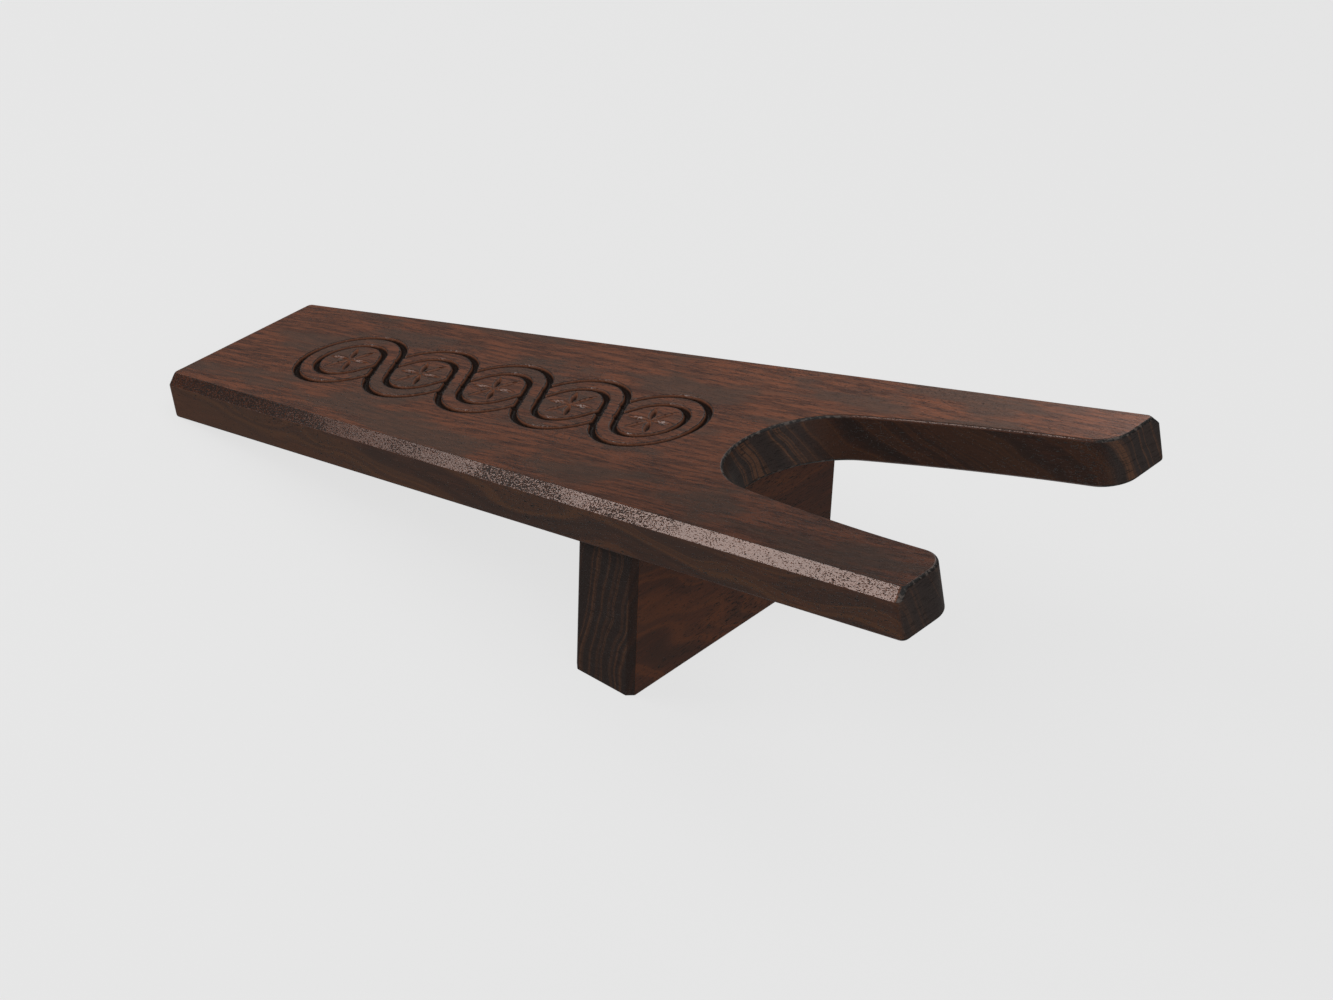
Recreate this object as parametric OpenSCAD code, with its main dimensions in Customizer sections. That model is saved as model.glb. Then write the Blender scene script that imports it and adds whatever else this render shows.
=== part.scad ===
// Boot jack: a tapered foot board that slopes up from the floor, with a round
// notch between two prongs at its high end, carried on a block under the board.
// Two screws and two dowels, all hidden from above, hold the block to the board.
// +X runs from the tail to the prongs, +Z is up and the floor is z = 0.
// The origin is the middle of the footprint. All lengths are in millimetres.

/* [Foot board] */
// Length of the board, along its slope
board_l = 396; // [370:1:430]
// Thickness of the board
board_t = 18; // [16:0.5:22]
// Width of the board at its tail
tail_w = 83; // [70:1:100]
// Width of the board across the ends of the prongs
fork_w = 149; // [143:1:165]
// Slope of the board, in degrees
board_slope = 14.2; // [12.5:0.1:16]
// Bevel along the two long top edges, measured along each face
edge_bevel = 4; // [1:0.5:6]
// Length of the flat on the tail's lower edge, where the board meets the floor
tail_flat = 2; // [1:0.5:5]

/* [Heel notch] */
// Depth of the notch, from the ends of the prongs
notch_depth = 126; // [110:1:140]
// Radius of the round throat of the notch
throat_r = 32; // [26:1:36]
// Width of the notch across the ends of the prongs
mouth_w = 92; // [86:1:98]
// Radius of the long curve along each side of the notch
side_r = 800; // [600:10:1500]
// Radius of the inner corner at the end of each prong
prong_corner_r = 12; // [6:0.5:16]

/* [Carved band] */
// Distance from the tail to the band
band_tail_gap = 42; // [36:1:50]
// Distance from the band to the throat of the notch
band_throat_gap = 22; // [16:1:30]
// Number of round eyes that the two strands of the band pass round
band_eyes = 5; // [4:1:6]
// Distance between two eyes, over the width of a strand's round
eye_spread = 1.14; // [1.1:0.01:1.2]
// Width of a strand, between its two grooves
strand_w = 5; // [4:0.5:6]
// Width of a groove
groove_w = 2.9; // [2:0.1:3.2]
// Depth of a groove
groove_depth = 2; // [1:0.1:2.5]

/* [Support block] */
// Distance from the block to the throat of the notch, along the board
block_setback = 4.5; // [0:0.5:20]
// Thickness of the block, along the floor
block_t = 28; // [24:1:34]
// Width of the block, across the board
block_w = 115; // [105:1:120]
// Bevel on the four upright edges of the block
block_bevel = 2.5; // [1:0.5:5]

/* [Screws] */
// Distance between the two screws, across the block
screw_gap = 72; // [64:1:80]
// Length of a screw, head included
screw_l = 50; // [45:1:55]
// Length of the threaded part of a screw, point included
thread_l = 30; // [24:1:36]
// Length of the point of a screw
point_l = 5; // [3:0.5:7]
// Diameter of the thread
thread_d = 5; // [4:0.5:5]
// Diameter of the blunt end of the point
point_d = 0.6; // [0.4:0.1:1]
// Diameter of the plain shank
shank_d = 3.6; // [3:0.2:3.8]
// Diameter of the countersunk head
head_d = 9.6; // [8:0.2:10]
// Diameter of the star recess in the head
recess_d = 4.4; // [3.6:0.2:5]
// Depth of the star recess
recess_depth = 2; // [1.5:0.25:2.5]
// How far a screw goes up into the board
screw_bite = 13; // [10:0.5:14]
// Diameter of the deep hole in the block that takes the head
counterbore_d = 12; // [11:0.5:14]
// Clearance around the thread in the block, on the radius
thread_clearance = 0.25; // [0.1:0.05:0.5]

/* [Dowels] */
// Distance between the two dowels, across the block
dowel_gap = 28; // [22:1:36]
// Diameter of a dowel
dowel_d = 8; // [6:1:10]
// Length of a dowel
dowel_l = 30; // [24:1:36]
// How far a dowel goes into the board
dowel_in_board = 11; // [8:0.5:12.5]
// Bevel on each end of a dowel
dowel_bevel = 1; // [0.5:0.25:1.5]
// Room left for glue past each end of a dowel
glue_room = 1; // [0.5:0.25:2]

/* [Hidden] */
$fn = 96;

stained_board = [0.35, 0.26, 0.21];
stained_block = [0.25, 0.18, 0.15];
bare_beech = [0.80, 0.66, 0.50];
zinc = [0.72, 0.72, 0.70];

// A cutter runs this far past the face that it cuts
over = 1;

// Planing the flat on the tail's lower edge sinks the board by this much
tail_drop = tail_flat * sin(board_slope) * cos(board_slope);
// Middle of the footprint, from the tail's lower edge as it was before planing
mid_x = (board_l * cos(board_slope) - board_t * sin(board_slope)) / 2;
// Angle of each long edge of the board to its middle line
taper = atan((fork_w - tail_w) / 2 / board_l);

// The throat is a circle. Each side of the notch is part of a large circle
// that the throat touches from inside, and that ends at a corner of the mouth.
notch_start = board_l - notch_depth;
throat_x = notch_start + throat_r;
mouth_run = board_l - throat_x;
mouth_reach = norm([mouth_run, mouth_w / 2]);
side_gap = side_r - throat_r;
side_along = (side_gap ^ 2 - side_r ^ 2 + mouth_reach ^ 2) / (2 * mouth_reach);
side_out = sqrt(side_gap ^ 2 - side_along ^ 2);
side_x = throat_x + (side_along * mouth_run + side_out * mouth_w / 2) / mouth_reach;
side_y = (side_along * mouth_w / 2 - side_out * mouth_run) / mouth_reach;
// Where the round of the throat turns into the sides
blend_x = throat_x - throat_r * (side_x - throat_x) / side_gap;

// Centre of the round on a prong's inner corner, and where it meets the side
corner_x = board_l - prong_corner_r;
corner_reach = side_r + prong_corner_r;
corner_y = side_y + sqrt(corner_reach ^ 2 - (corner_x - side_x) ^ 2);
touch_x = side_x + (corner_x - side_x) * side_r / corner_reach;
touch_y = side_y + (corner_y - side_y) * side_r / corner_reach;

// The carved band. Each strand runs round every eye in turn, on one side and
// then the other, and crosses in between on a line that touches both rounds.
strand_out = strand_w / 2 + groove_w;
band_l = notch_start - band_tail_gap - band_throat_gap;
strand_r = (band_l / 2 - strand_out) / ((band_eyes - 1) * eye_spread + 1);
eye_gap = 2 * strand_r * eye_spread;
first_eye = band_tail_gap + strand_out + strand_r;
cross_turn = asin(1 / eye_spread);
cross_l = sqrt(eye_gap ^ 2 - (2 * strand_r) ^ 2);

// The block along the floor, and its middle where it meets the board
block_front = (notch_start - block_setback) * cos(board_slope);
block_mid = block_front - block_t / 2;
joint_z = block_mid * tan(board_slope) - tail_drop;
joint_along = block_mid / cos(board_slope);

// A screw stands upright with its head down
head_z = joint_z + screw_bite - screw_l;
head_l = (head_d - shank_d) / 2;
clear_d = thread_d + 2 * thread_clearance;

// Moves a shape drawn on the floor plan to its place
module on_floor() {
    translate([-mid_x, 0, 0])
        children();
}

// Moves a shape drawn on the board to its place: x runs up the slope from the
// tail, and z is the height above the underside
module on_slope() {
    translate([-mid_x, 0, -tail_drop])
        rotate([0, -board_slope, 0])
            children();
}

// Two copies of a shape, this far apart across the part
module pair_across(gap) {
    for (side = [-1, 1])
        translate([0, side * gap / 2, 0])
            children();
}

// What the round on the inner corner of the left prong takes away
module prong_corner() {
    difference() {
        polygon([
            [corner_x, corner_y],
            [touch_x, touch_y],
            [board_l + over, touch_y],
            [board_l + over, corner_y]
        ]);
        translate([corner_x, corner_y])
            circle(prong_corner_r);
    }
}

// The notch, seen square to the board
module heel_notch() {
    translate([throat_x, 0])
        circle(throat_r);
    intersection() {
        translate([side_x, side_y])
            circle(side_r, $fn = 720);
        translate([side_x, -side_y])
            circle(side_r, $fn = 720);
        translate([blend_x, -mouth_w])
            square([notch_depth, 2 * mouth_w]);
    }
    prong_corner();
    mirror([0, 1])
        prong_corner();
}

// The outline of the board, seen square to it
module board_outline() {
    difference() {
        polygon([
            [0, -tail_w / 2],
            [board_l, -fork_w / 2],
            [board_l, fork_w / 2],
            [0, tail_w / 2]
        ]);
        heel_notch();
    }
}

// Copies of a shape at the first eyes of the band
module at_eyes(count) {
    for (i = [0 : count - 1])
        translate([first_eye + i * eye_gap, 0])
            children();
}

// A disc at each eye, drawn out to a point towards the eyes beside it by lines
// that touch the disc and leave it at the strands' crossing turn
module loops(radius) {
    at_eyes(band_eyes)
        circle(radius);
    at_eyes(band_eyes - 1)
        loop_point(radius);
    translate([eye_gap, 0])
        at_eyes(band_eyes - 1)
            mirror([1, 0])
                loop_point(radius);
}

module loop_point(radius) {
    touch = [radius * sin(cross_turn), radius * cos(cross_turn)];
    polygon([[0, 0], touch, [radius * eye_spread, 0], [touch.x, -touch.y]]);
}

// Both strands together, this wide to each side of their middle lines
module strands(half) {
    difference() {
        loops(strand_r + half);
        loops(strand_r - half);
    }
}

// The grooves on both sides of the strand that passes over, at each crossing
module over_grooves() {
    translate([eye_gap / 2, 0])
        at_eyes(band_eyes - 1)
            rotate(-cross_turn)
                pair_across(strand_w + groove_w)
                    square([cross_l, groove_w], center = true);
}

// The grooves of the carved band, seen square to the board
module band_grooves() {
    difference() {
        strands(strand_out);
        difference() {
            strands(strand_w / 2);
            over_grooves();
        }
    }
}

// The strip that the bevel takes off the long top edge on the left
module edge_strip() {
    translate([0, tail_w / 2, board_t - edge_bevel])
        rotate([0, 0, taper])
            translate([-board_t, 0, 0])
                rotate([45, 0, 0])
                    cube([board_l + 3 * board_t, board_t, board_t]);
}

// The space above the board's underside, and the space under the floor
module above_joint() {
    on_slope()
        translate([0, -fork_w, 0])
            cube([board_l, 2 * fork_w, board_l]);
}

module under_floor() {
    translate([-board_l, -fork_w, -board_t])
        cube([2 * board_l, 2 * fork_w, board_t]);
}

// One screw along z, with the flat of its head at z = 0
module screw_shape() {
    cylinder(h = head_l, d1 = head_d, d2 = shank_d);
    cylinder(h = screw_l - thread_l + over, d = shank_d);
    translate([0, 0, screw_l - thread_l])
        cylinder(h = thread_l - point_l, d = thread_d);
    translate([0, 0, screw_l - point_l])
        cylinder(h = point_l, d1 = thread_d, d2 = point_d);
}

// The six-pointed recess in a screw's head
module star_recess() {
    translate([0, 0, -over])
        linear_extrude(recess_depth + over)
            for (turn = [0, 60])
                rotate(turn)
                    circle(d = recess_d, $fn = 3);
}

// The stepped hole in the block that takes one screw from below
module screw_hole() {
    translate([0, 0, -head_z - over])
        cylinder(h = head_z + over, d = counterbore_d);
    cylinder(h = head_l, d1 = head_d, d2 = shank_d);
    cylinder(h = screw_l, d = clear_d);
}

module screws_in_place() {
    on_floor()
        pair_across(screw_gap)
            translate([block_mid, 0, head_z])
                children();
}

// A shape along the dowels' axis, square to the joint, with z = 0 at the joint
module dowels_in_place() {
    on_slope()
        pair_across(dowel_gap)
            translate([joint_along, 0, 0])
                children();
}

module dowel_hole() {
    translate([0, 0, dowel_in_board - dowel_l - glue_room])
        cylinder(h = dowel_l + 2 * glue_room, d = dowel_d);
}

module dowel_shape() {
    translate([0, 0, dowel_in_board - dowel_l]) {
        cylinder(h = dowel_bevel, d1 = dowel_d - 2 * dowel_bevel, d2 = dowel_d);
        translate([0, 0, dowel_bevel])
            cylinder(h = dowel_l - 2 * dowel_bevel, d = dowel_d);
        translate([0, 0, dowel_l - dowel_bevel])
            cylinder(h = dowel_bevel, d1 = dowel_d, d2 = dowel_d - 2 * dowel_bevel);
    }
}

module foot_board() {
    color(stained_board)
        difference() {
            on_slope()
                difference() {
                    linear_extrude(board_t)
                        board_outline();
                    translate([0, 0, board_t - groove_depth])
                        linear_extrude(groove_depth + over)
                            band_grooves();
                    edge_strip();
                    mirror([0, 1, 0])
                        edge_strip();
                }
            under_floor();
            screws_in_place()
                screw_shape();
            dowels_in_place()
                dowel_hole();
        }
}

module support_block() {
    color(stained_block)
        difference() {
            on_floor()
                translate([block_mid, 0, 0])
                    linear_extrude(board_l)
                        block_plan();
            above_joint();
            screws_in_place()
                screw_hole();
            dowels_in_place()
                dowel_hole();
        }
}

// The block seen from above, with its four upright edges bevelled
module block_plan() {
    half_t = block_t / 2;
    half_w = block_w / 2;
    polygon([
        [-half_t, block_bevel - half_w],
        [block_bevel - half_t, -half_w],
        [half_t - block_bevel, -half_w],
        [half_t, block_bevel - half_w],
        [half_t, half_w - block_bevel],
        [half_t - block_bevel, half_w],
        [block_bevel - half_t, half_w],
        [-half_t, half_w - block_bevel]
    ]);
}

module block_screws() {
    color(zinc)
        screws_in_place()
            difference() {
                screw_shape();
                star_recess();
            }
}

module dowel_pins() {
    color(bare_beech)
        dowels_in_place()
            dowel_shape();
}

foot_board();
support_block();
block_screws();
dowel_pins();
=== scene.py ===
# Looks of a boot jack: a tapered foot board with a heel notch between two
# prongs, a block under it, and the screws and dowels hidden in the joint.
# Lengths are in millimetres and turn into metres where mesh points are made.
# Board coordinates: u runs up the slope from the tail, v across to the left, and
# w up from the underside. Plan coordinates: x runs along the floor from the
# tail, and y across to the left.

import math

import bmesh
import bpy
import numpy as np
from mathutils import Matrix, Vector


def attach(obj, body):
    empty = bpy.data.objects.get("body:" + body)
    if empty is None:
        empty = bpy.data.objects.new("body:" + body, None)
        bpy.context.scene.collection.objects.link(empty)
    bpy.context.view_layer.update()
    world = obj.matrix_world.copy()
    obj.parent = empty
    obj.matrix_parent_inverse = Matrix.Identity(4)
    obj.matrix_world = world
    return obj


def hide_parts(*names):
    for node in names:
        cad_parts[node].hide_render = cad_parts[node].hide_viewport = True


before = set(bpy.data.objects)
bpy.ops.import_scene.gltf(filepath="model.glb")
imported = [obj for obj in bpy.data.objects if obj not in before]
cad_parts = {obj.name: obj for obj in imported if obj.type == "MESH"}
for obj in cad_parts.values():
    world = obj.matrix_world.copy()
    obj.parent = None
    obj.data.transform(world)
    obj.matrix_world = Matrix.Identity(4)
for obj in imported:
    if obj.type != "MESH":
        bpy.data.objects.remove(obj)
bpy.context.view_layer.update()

MM = 0.001

# Foot board, as in the CAD source
BOARD_L = 396
BOARD_T = 18
TAIL_W = 83
FORK_W = 149
SLOPE = math.radians(14.2)
BEVEL = 4
TAIL_FLAT = 2

# Heel notch
NOTCH_DEPTH = 126
THROAT_R = 32
MOUTH_W = 92
SIDE_R = 800
PRONG_CORNER_R = 12

# Support block
BLOCK_SETBACK = 4.5
BLOCK_T = 28
BLOCK_W = 115
BLOCK_BEVEL = 2.5

# Screws and dowels
SCREW_GAP = 72
SCREW_L = 50
THREAD_L = 30
POINT_L = 5
THREAD_R = 2.5
THREAD_PITCH = 2.4
THREAD_STEEPNESS = 4.5
CORE_R = 1.7
POINT_SHARE = 0.06
SHANK_R = 1.8
HEAD_R = 4.8
HEAD_ROOM = 0.1
HEAD_RIM = 0.25
HEAD_RIM_INSET = 0.15
RECESS_R = 2.2
RECESS_DEPTH = 2
RECESS_TAPER = 0.94
STAR_POINTS = 6
STAR_WAVE = 0.14
SCREW_BITE = 13
PILOT_TIP_R = 0.4
COUNTERBORE_R = 6
CLEARANCE_R = 2.75
DOWEL_GAP = 28
DOWEL_R = 4
DOWEL_L = 30
DOWEL_IN_BOARD = 11
DOWEL_BEVEL = 1
FLUTES = 16
FLUTE_DEPTH = 0.22
GLUE_ROOM = 1

# Points round each circle
HOLE_SIDES = 24
BORE_SIDES = 36
SCREW_SIDES = 32
STAR_SIDES = 48
DOWEL_SIDES = 96

# Softened edges, which only the looks have
ARRIS_R = 1.2
BEVEL_ARRIS_R = 0.4
UPRIGHT_R = 2.5
BLOCK_ARRIS_R = 0.6
HOLE_ARRIS = 0.3

# Carved band on the foot board: two strands that run round a row of eyes and
# cross over and under between them, as in the CAD source
BAND_TAIL_GAP = 42
BAND_THROAT_GAP = 22
BAND_EYES = 5
EYE_SPREAD = 1.14
STRAND_W = 5
GROOVE_W = 2.9
GROOVE_DEPTH = 2

# A groove's section is round at 2 and squarer above it. Grid points past this
# share of its half width count as on its rim.
GROOVE_SQUARENESS = 2.6
GROOVE_RIM = 0.985

# Six-petalled rosette in each eye. Grid points less deep in a petal than its rim
# count as outside.
ROSETTE_R = 11.4
PETAL_STEEPNESS = 1.1
PETAL_RIM = 0.01

# Grid that the carving is made on, a distance that is never the nearest, and one
# that keeps divisions off zero
PANEL_MARGIN = 3
PANEL_CELL = 0.5
FAR = 1000
TINY = 0.01

# Derived places
TAIL_DROP = TAIL_FLAT * math.sin(SLOPE) * math.cos(SLOPE)
MID_X = (BOARD_L * math.cos(SLOPE) - BOARD_T * math.sin(SLOPE)) / 2
TAPER = math.atan((FORK_W - TAIL_W) / 2 / BOARD_L)
THROAT_U = BOARD_L - NOTCH_DEPTH + THROAT_R
STRAND_OUT = STRAND_W / 2 + GROOVE_W
BAND_L = BOARD_L - NOTCH_DEPTH - BAND_TAIL_GAP - BAND_THROAT_GAP
STRAND_R = (BAND_L / 2 - STRAND_OUT) / ((BAND_EYES - 1) * EYE_SPREAD + 1)
EYE_GAP = 2 * STRAND_R * EYE_SPREAD
FIRST_EYE = BAND_TAIL_GAP + STRAND_OUT + STRAND_R
CROSS_TURN = math.asin(1 / EYE_SPREAD)
CROSS_L = math.sqrt(EYE_GAP ** 2 - (2 * STRAND_R) ** 2)
BLOCK_MID = (BOARD_L - NOTCH_DEPTH - BLOCK_SETBACK) * math.cos(SLOPE) - BLOCK_T / 2
JOINT_Z = BLOCK_MID * math.tan(SLOPE) - TAIL_DROP
JOINT_U = BLOCK_MID / math.cos(SLOPE)
HEAD_Z = JOINT_Z + SCREW_BITE - SCREW_L
HEAD_L = HEAD_R - SHANK_R
THREAD_START = SCREW_L - THREAD_L


# Places

def from_board(points):
    """Row-frame points in metres, from board coordinates."""
    u, v, w = np.asarray(points, float).T
    x = u * math.cos(SLOPE) - w * math.sin(SLOPE) - MID_X
    z = u * math.sin(SLOPE) + w * math.cos(SLOPE) - TAIL_DROP
    return np.stack([x, v, z], 1) * MM


def from_plan(points):
    """Row-frame points in metres, from plan coordinates and a height."""
    x, y, z = np.asarray(points, float).T
    return np.stack([x - MID_X, y, z], 1) * MM


def joint_height(x):
    """Height of the board's underside above a place on the plan."""
    return x * math.tan(SLOPE) - TAIL_DROP


def polar(center, radius, angle):
    """The point at an angle and a radius from a centre."""
    return (center[0] + radius * math.cos(angle), center[1] + radius * math.sin(angle))


def arc(center, radius, start, end, steps):
    """Points on an arc, both ends included, angles in radians."""
    return [polar(center, radius, start + (end - start) * i / steps) for i in range(steps + 1)]


def circle(center, radius, sides):
    """Evenly spaced points of a circle."""
    return [polar(center, radius, 2 * math.pi * i / sides) for i in range(sides)]


def rounded_corner(before, corner, after, radius, steps=5):
    """Points of a round that touches both lines that meet at a corner."""
    corner = Vector(corner)
    to_before = (Vector(before) - corner).normalized()
    to_after = (Vector(after) - corner).normalized()
    half = to_before.angle(to_after) / 2
    center = corner + (to_before + to_after).normalized() * radius / math.sin(half)
    first = corner + to_before * radius / math.tan(half) - center
    last = corner + to_after * radius / math.tan(half) - center
    start = math.atan2(first.y, first.x)
    turn = math.atan2(first.cross(last), first.dot(last))
    return arc(center, radius, start, start + turn, steps)


# Mesh helpers

def add_ring(bm, points):
    """New vertices at points."""
    return [bm.verts.new(p) for p in points]


def loft(bm, rings):
    """Joins closed rings of points, one after another."""
    for low, high in zip(rings, rings[1:]):
        for i in range(len(low)):
            j = (i + 1) % len(low)
            bm.faces.new((low[i], low[j], high[j], high[i]))


def ring_edges(bm, ring):
    """The edges of a closed ring, made where they are missing."""
    pairs = zip(ring, ring[1:] + ring[:1])
    return [bm.edges.get(pair) or bm.edges.new(pair) for pair in pairs]


def fill(bm, loops):
    """Closes a flat area between its outer loop and the loops of its holes."""
    edges = [edge for loop in loops for edge in ring_edges(bm, loop)]
    bmesh.ops.triangle_fill(bm, use_beauty=True, use_dissolve=False, edges=edges)


def blind_hole(bm, rings):
    """Joins a hole's rings from its mouth down and closes its bottom. Returns the mouth."""
    loft(bm, rings)
    bm.faces.new(rings[-1])
    return rings[0]


def finish_piece(bm, name, node, material):
    """Turns a bmesh into a smooth-shaded piece that stands for a CAD node."""
    bmesh.ops.recalc_face_normals(bm, faces=bm.faces)
    for face in bm.faces:
        face.smooth = True
    mesh = bpy.data.meshes.new(name)
    bm.to_mesh(mesh)
    bm.free()
    mesh.materials.append(material)
    piece = bpy.data.objects.new(name, mesh)
    bpy.context.scene.collection.objects.link(piece)
    shading = piece.modifiers.new("even_shading", "WEIGHTED_NORMAL")
    shading.weight = 100
    shading.keep_sharp = True
    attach(piece, "root")
    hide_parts(node)


# Foot board

def end_inset(w):
    """How far the ends and the notch wall draw in at a height, for their arrises."""
    if w < ARRIS_R:
        return ARRIS_R - math.sqrt(ARRIS_R ** 2 - (ARRIS_R - w) ** 2)
    if w > BOARD_T - ARRIS_R:
        return ARRIS_R - math.sqrt(max(0, ARRIS_R ** 2 - (w - BOARD_T + ARRIS_R) ** 2))
    return 0


def side_inset(w):
    """How far the long sides draw in at a height, for arris and bevel."""
    tangent = BEVEL_ARRIS_R * math.tan(math.pi / 8)
    low_start = BOARD_T - BEVEL - tangent
    low_end = BOARD_T - BEVEL + tangent * math.sqrt(0.5)
    high_start = BOARD_T - tangent * math.sqrt(0.5)
    if w < ARRIS_R:
        return end_inset(w)
    if w <= low_start:
        return 0
    if w < low_end:
        return BEVEL_ARRIS_R - math.sqrt(BEVEL_ARRIS_R ** 2 - (w - low_start) ** 2)
    if w <= high_start:
        return w - BOARD_T + BEVEL
    rise = w - BOARD_T + BEVEL_ARRIS_R
    return BEVEL + tangent - math.sqrt(max(0, BEVEL_ARRIS_R ** 2 - rise ** 2))


def board_levels():
    """Heights of the rings that the board's sides are lofted through."""
    low = [ARRIS_R * (1 - math.cos(math.radians(a))) for a in range(0, 91, 15)]
    high = [BOARD_T - ARRIS_R * (1 - math.sin(math.radians(a))) for a in range(0, 91, 15)]
    tangent = BEVEL_ARRIS_R * math.tan(math.pi / 8)
    turns = [BEVEL_ARRIS_R * math.sin(math.radians(a)) for a in range(0, 46, 9)]
    bend = [BOARD_T - BEVEL - tangent + turn for turn in turns]
    crest = [BOARD_T - BEVEL_ARRIS_R * (1 - math.cos(math.radians(a))) for a in range(0, 46, 9)]
    return sorted(set(round(w, 4) for w in low + bend + crest + high))


def notch_side():
    """Centre of the large circle along the notch's side at positive v."""
    run = BOARD_L - THROAT_U
    reach = math.hypot(run, MOUTH_W / 2)
    gap = SIDE_R - THROAT_R
    along = (gap ** 2 - SIDE_R ** 2 + reach ** 2) / (2 * reach)
    out = math.sqrt(gap ** 2 - along ** 2)
    u = THROAT_U + (along * run + out * MOUTH_W / 2) / reach
    v = (along * MOUTH_W / 2 - out * run) / reach
    return u, v


def half_outline(side_in, end_in):
    """Outline of the board's half at positive v, from the tail to the throat."""
    def side_v(u):
        return TAIL_W / 2 + u * math.tan(TAPER) - side_in / math.cos(TAPER)

    round_r = UPRIGHT_R - end_in
    tail_u, fork_u = end_in, BOARD_L - end_in
    tail = (tail_u, side_v(tail_u))
    fork = (fork_u, side_v(fork_u))
    side_center = notch_side()
    corner_u = BOARD_L - PRONG_CORNER_R
    corner_reach = SIDE_R + PRONG_CORNER_R
    corner_v = side_center[1] + math.sqrt(corner_reach ** 2 - (corner_u - side_center[0]) ** 2)
    away_u, away_v = corner_u - side_center[0], corner_v - side_center[1]
    touch = math.atan2(away_v, away_u)
    blend = math.atan2(-side_center[1], THROAT_U - side_center[0])
    points = [(tail_u, 0)]
    points += rounded_corner((tail_u, 0), tail, fork, round_r)
    points += rounded_corner(tail, fork, (fork_u, 0), round_r)
    points += arc((corner_u, corner_v), PRONG_CORNER_R - end_in, 0, touch - math.pi, 14)
    points += arc(side_center, SIDE_R + end_in, touch, blend, 16)[1:]
    points += arc((THROAT_U, 0), THROAT_R + end_in, blend, math.pi, 36)[1:]
    return points


def board_outline(w):
    """The board's whole outline at a height, in board coordinates."""
    half = half_outline(side_inset(w), end_inset(w))
    mirrored = [(u, -v) for u, v in half[-2:0:-1]]
    return [(u, v, w) for u, v in half + mirrored]


def board_dowel_hole(bm, v):
    """A blind hole in the underside for one dowel. Returns its mouth."""
    outline = circle((JOINT_U, v), DOWEL_R, HOLE_SIDES)
    rings = []
    for w in (0, DOWEL_IN_BOARD + GLUE_ROOM):
        rings.append(add_ring(bm, from_board([(a, b, w) for a, b in outline])))
    return blind_hole(bm, rings)


def board_screw_hole(bm, y):
    """A blind pointed hole in the underside for one screw. Returns its mouth."""
    rings = []
    for radius, rise in ((THREAD_R, 0), (THREAD_R, SCREW_BITE - POINT_L), (PILOT_TIP_R, SCREW_BITE)):
        outline = circle((BLOCK_MID, y), radius, HOLE_SIDES)
        points = [(a, b, JOINT_Z + rise if rise else joint_height(a)) for a, b in outline]
        rings.append(add_ring(bm, from_plan(points)))
    return blind_hole(bm, rings)


def board_holes(bm):
    """Holes for dowels and screws in the underside. Returns their mouths."""
    mouths = [board_dowel_hole(bm, side * DOWEL_GAP / 2) for side in (-1, 1)]
    return mouths + [board_screw_hole(bm, side * SCREW_GAP / 2) for side in (-1, 1)]


# Carved band

def offsets_from(points, center, radius):
    """Distance of points from a circle, and the way to them from its nearest place."""
    to_point = points - center
    reach = np.maximum(np.hypot(*to_point.T), TINY)
    return np.abs(reach - radius), to_point * ((reach - radius) / reach)[:, None]


def round_offsets(points):
    """Distance of points from the rounds that the strands make about the eyes."""
    eye = np.clip(np.round((points[:, 0] - FIRST_EYE) / EYE_GAP), 0, BAND_EYES - 1)
    centers = np.stack([FIRST_EYE + eye * EYE_GAP, np.zeros(len(points))], 1)
    distance, way = offsets_from(points, centers, STRAND_R)
    u, v = (points - centers).T
    open_side = np.abs(v) < np.abs(u) / math.tan(CROSS_TURN)
    beyond = ((eye == 0) & (u < 0)) | ((eye == BAND_EYES - 1) & (u > 0))
    return np.where(open_side & ~beyond, FAR, distance), way


def crossing_offsets(points, turn):
    """Distance of points from the straight parts of the strands that cross at this turn."""
    cross = np.clip(np.floor((points[:, 0] - FIRST_EYE) / EYE_GAP), 0, BAND_EYES - 2)
    u = points[:, 0] - FIRST_EYE - (cross + 0.5) * EYE_GAP
    along = u * math.cos(turn) + points[:, 1] * math.sin(turn)
    across = points[:, 1] * math.cos(turn) - u * math.sin(turn)
    way = np.outer(across, (-math.sin(turn), math.cos(turn)))
    return np.where(np.abs(along) > CROSS_L / 2, FAR, np.abs(across)), way


def strand_offsets(points):
    """The rounds, the strand that passes over and the one under it, in that order."""
    under = crossing_offsets(points, CROSS_TURN)
    return round_offsets(points), crossing_offsets(points, -CROSS_TURN), under


def petal_edges(points):
    """Depth inside the nearest petal of a rosette, and the way to the petal's edge."""
    eye = np.clip(np.round((points[:, 0] - FIRST_EYE) / EYE_GAP), 0, BAND_EYES - 1)
    to_eye = points - np.stack([FIRST_EYE + eye * EYE_GAP, np.zeros(len(points))], 1)
    inside = np.full(len(points), -float(FAR))
    way = np.zeros_like(points)
    for petal in range(6):
        gaps = []
        for side in (-1, 1):
            center = np.array(polar((0, 0), ROSETTE_R, math.radians(60 * (petal + side))))
            spoke = to_eye - center
            reach = np.maximum(np.hypot(*spoke.T), TINY)
            gaps.append((ROSETTE_R - reach, spoke / reach[:, None]))
        nearer = gaps[0][0] < gaps[1][0]
        gap = np.where(nearer, gaps[0][0], gaps[1][0])
        spoke = np.where(nearer[:, None], gaps[0][1], gaps[1][1])
        better = gap > inside
        inside = np.where(better, gap, inside)
        way = np.where(better[:, None], spoke * gap[:, None], way)
    return inside, way


def groove(distance):
    """Depth of the round-bottomed groove beside a strand, from the strand's middle line."""
    across = np.abs(distance - STRAND_W / 2 - GROOVE_W / 2) / (GROOVE_W / 2)
    across = np.where(across > GROOVE_RIM, 1, across)
    return GROOVE_DEPTH * np.sqrt(np.clip(1 - across ** GROOVE_SQUARENESS, 0, 1))


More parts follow.
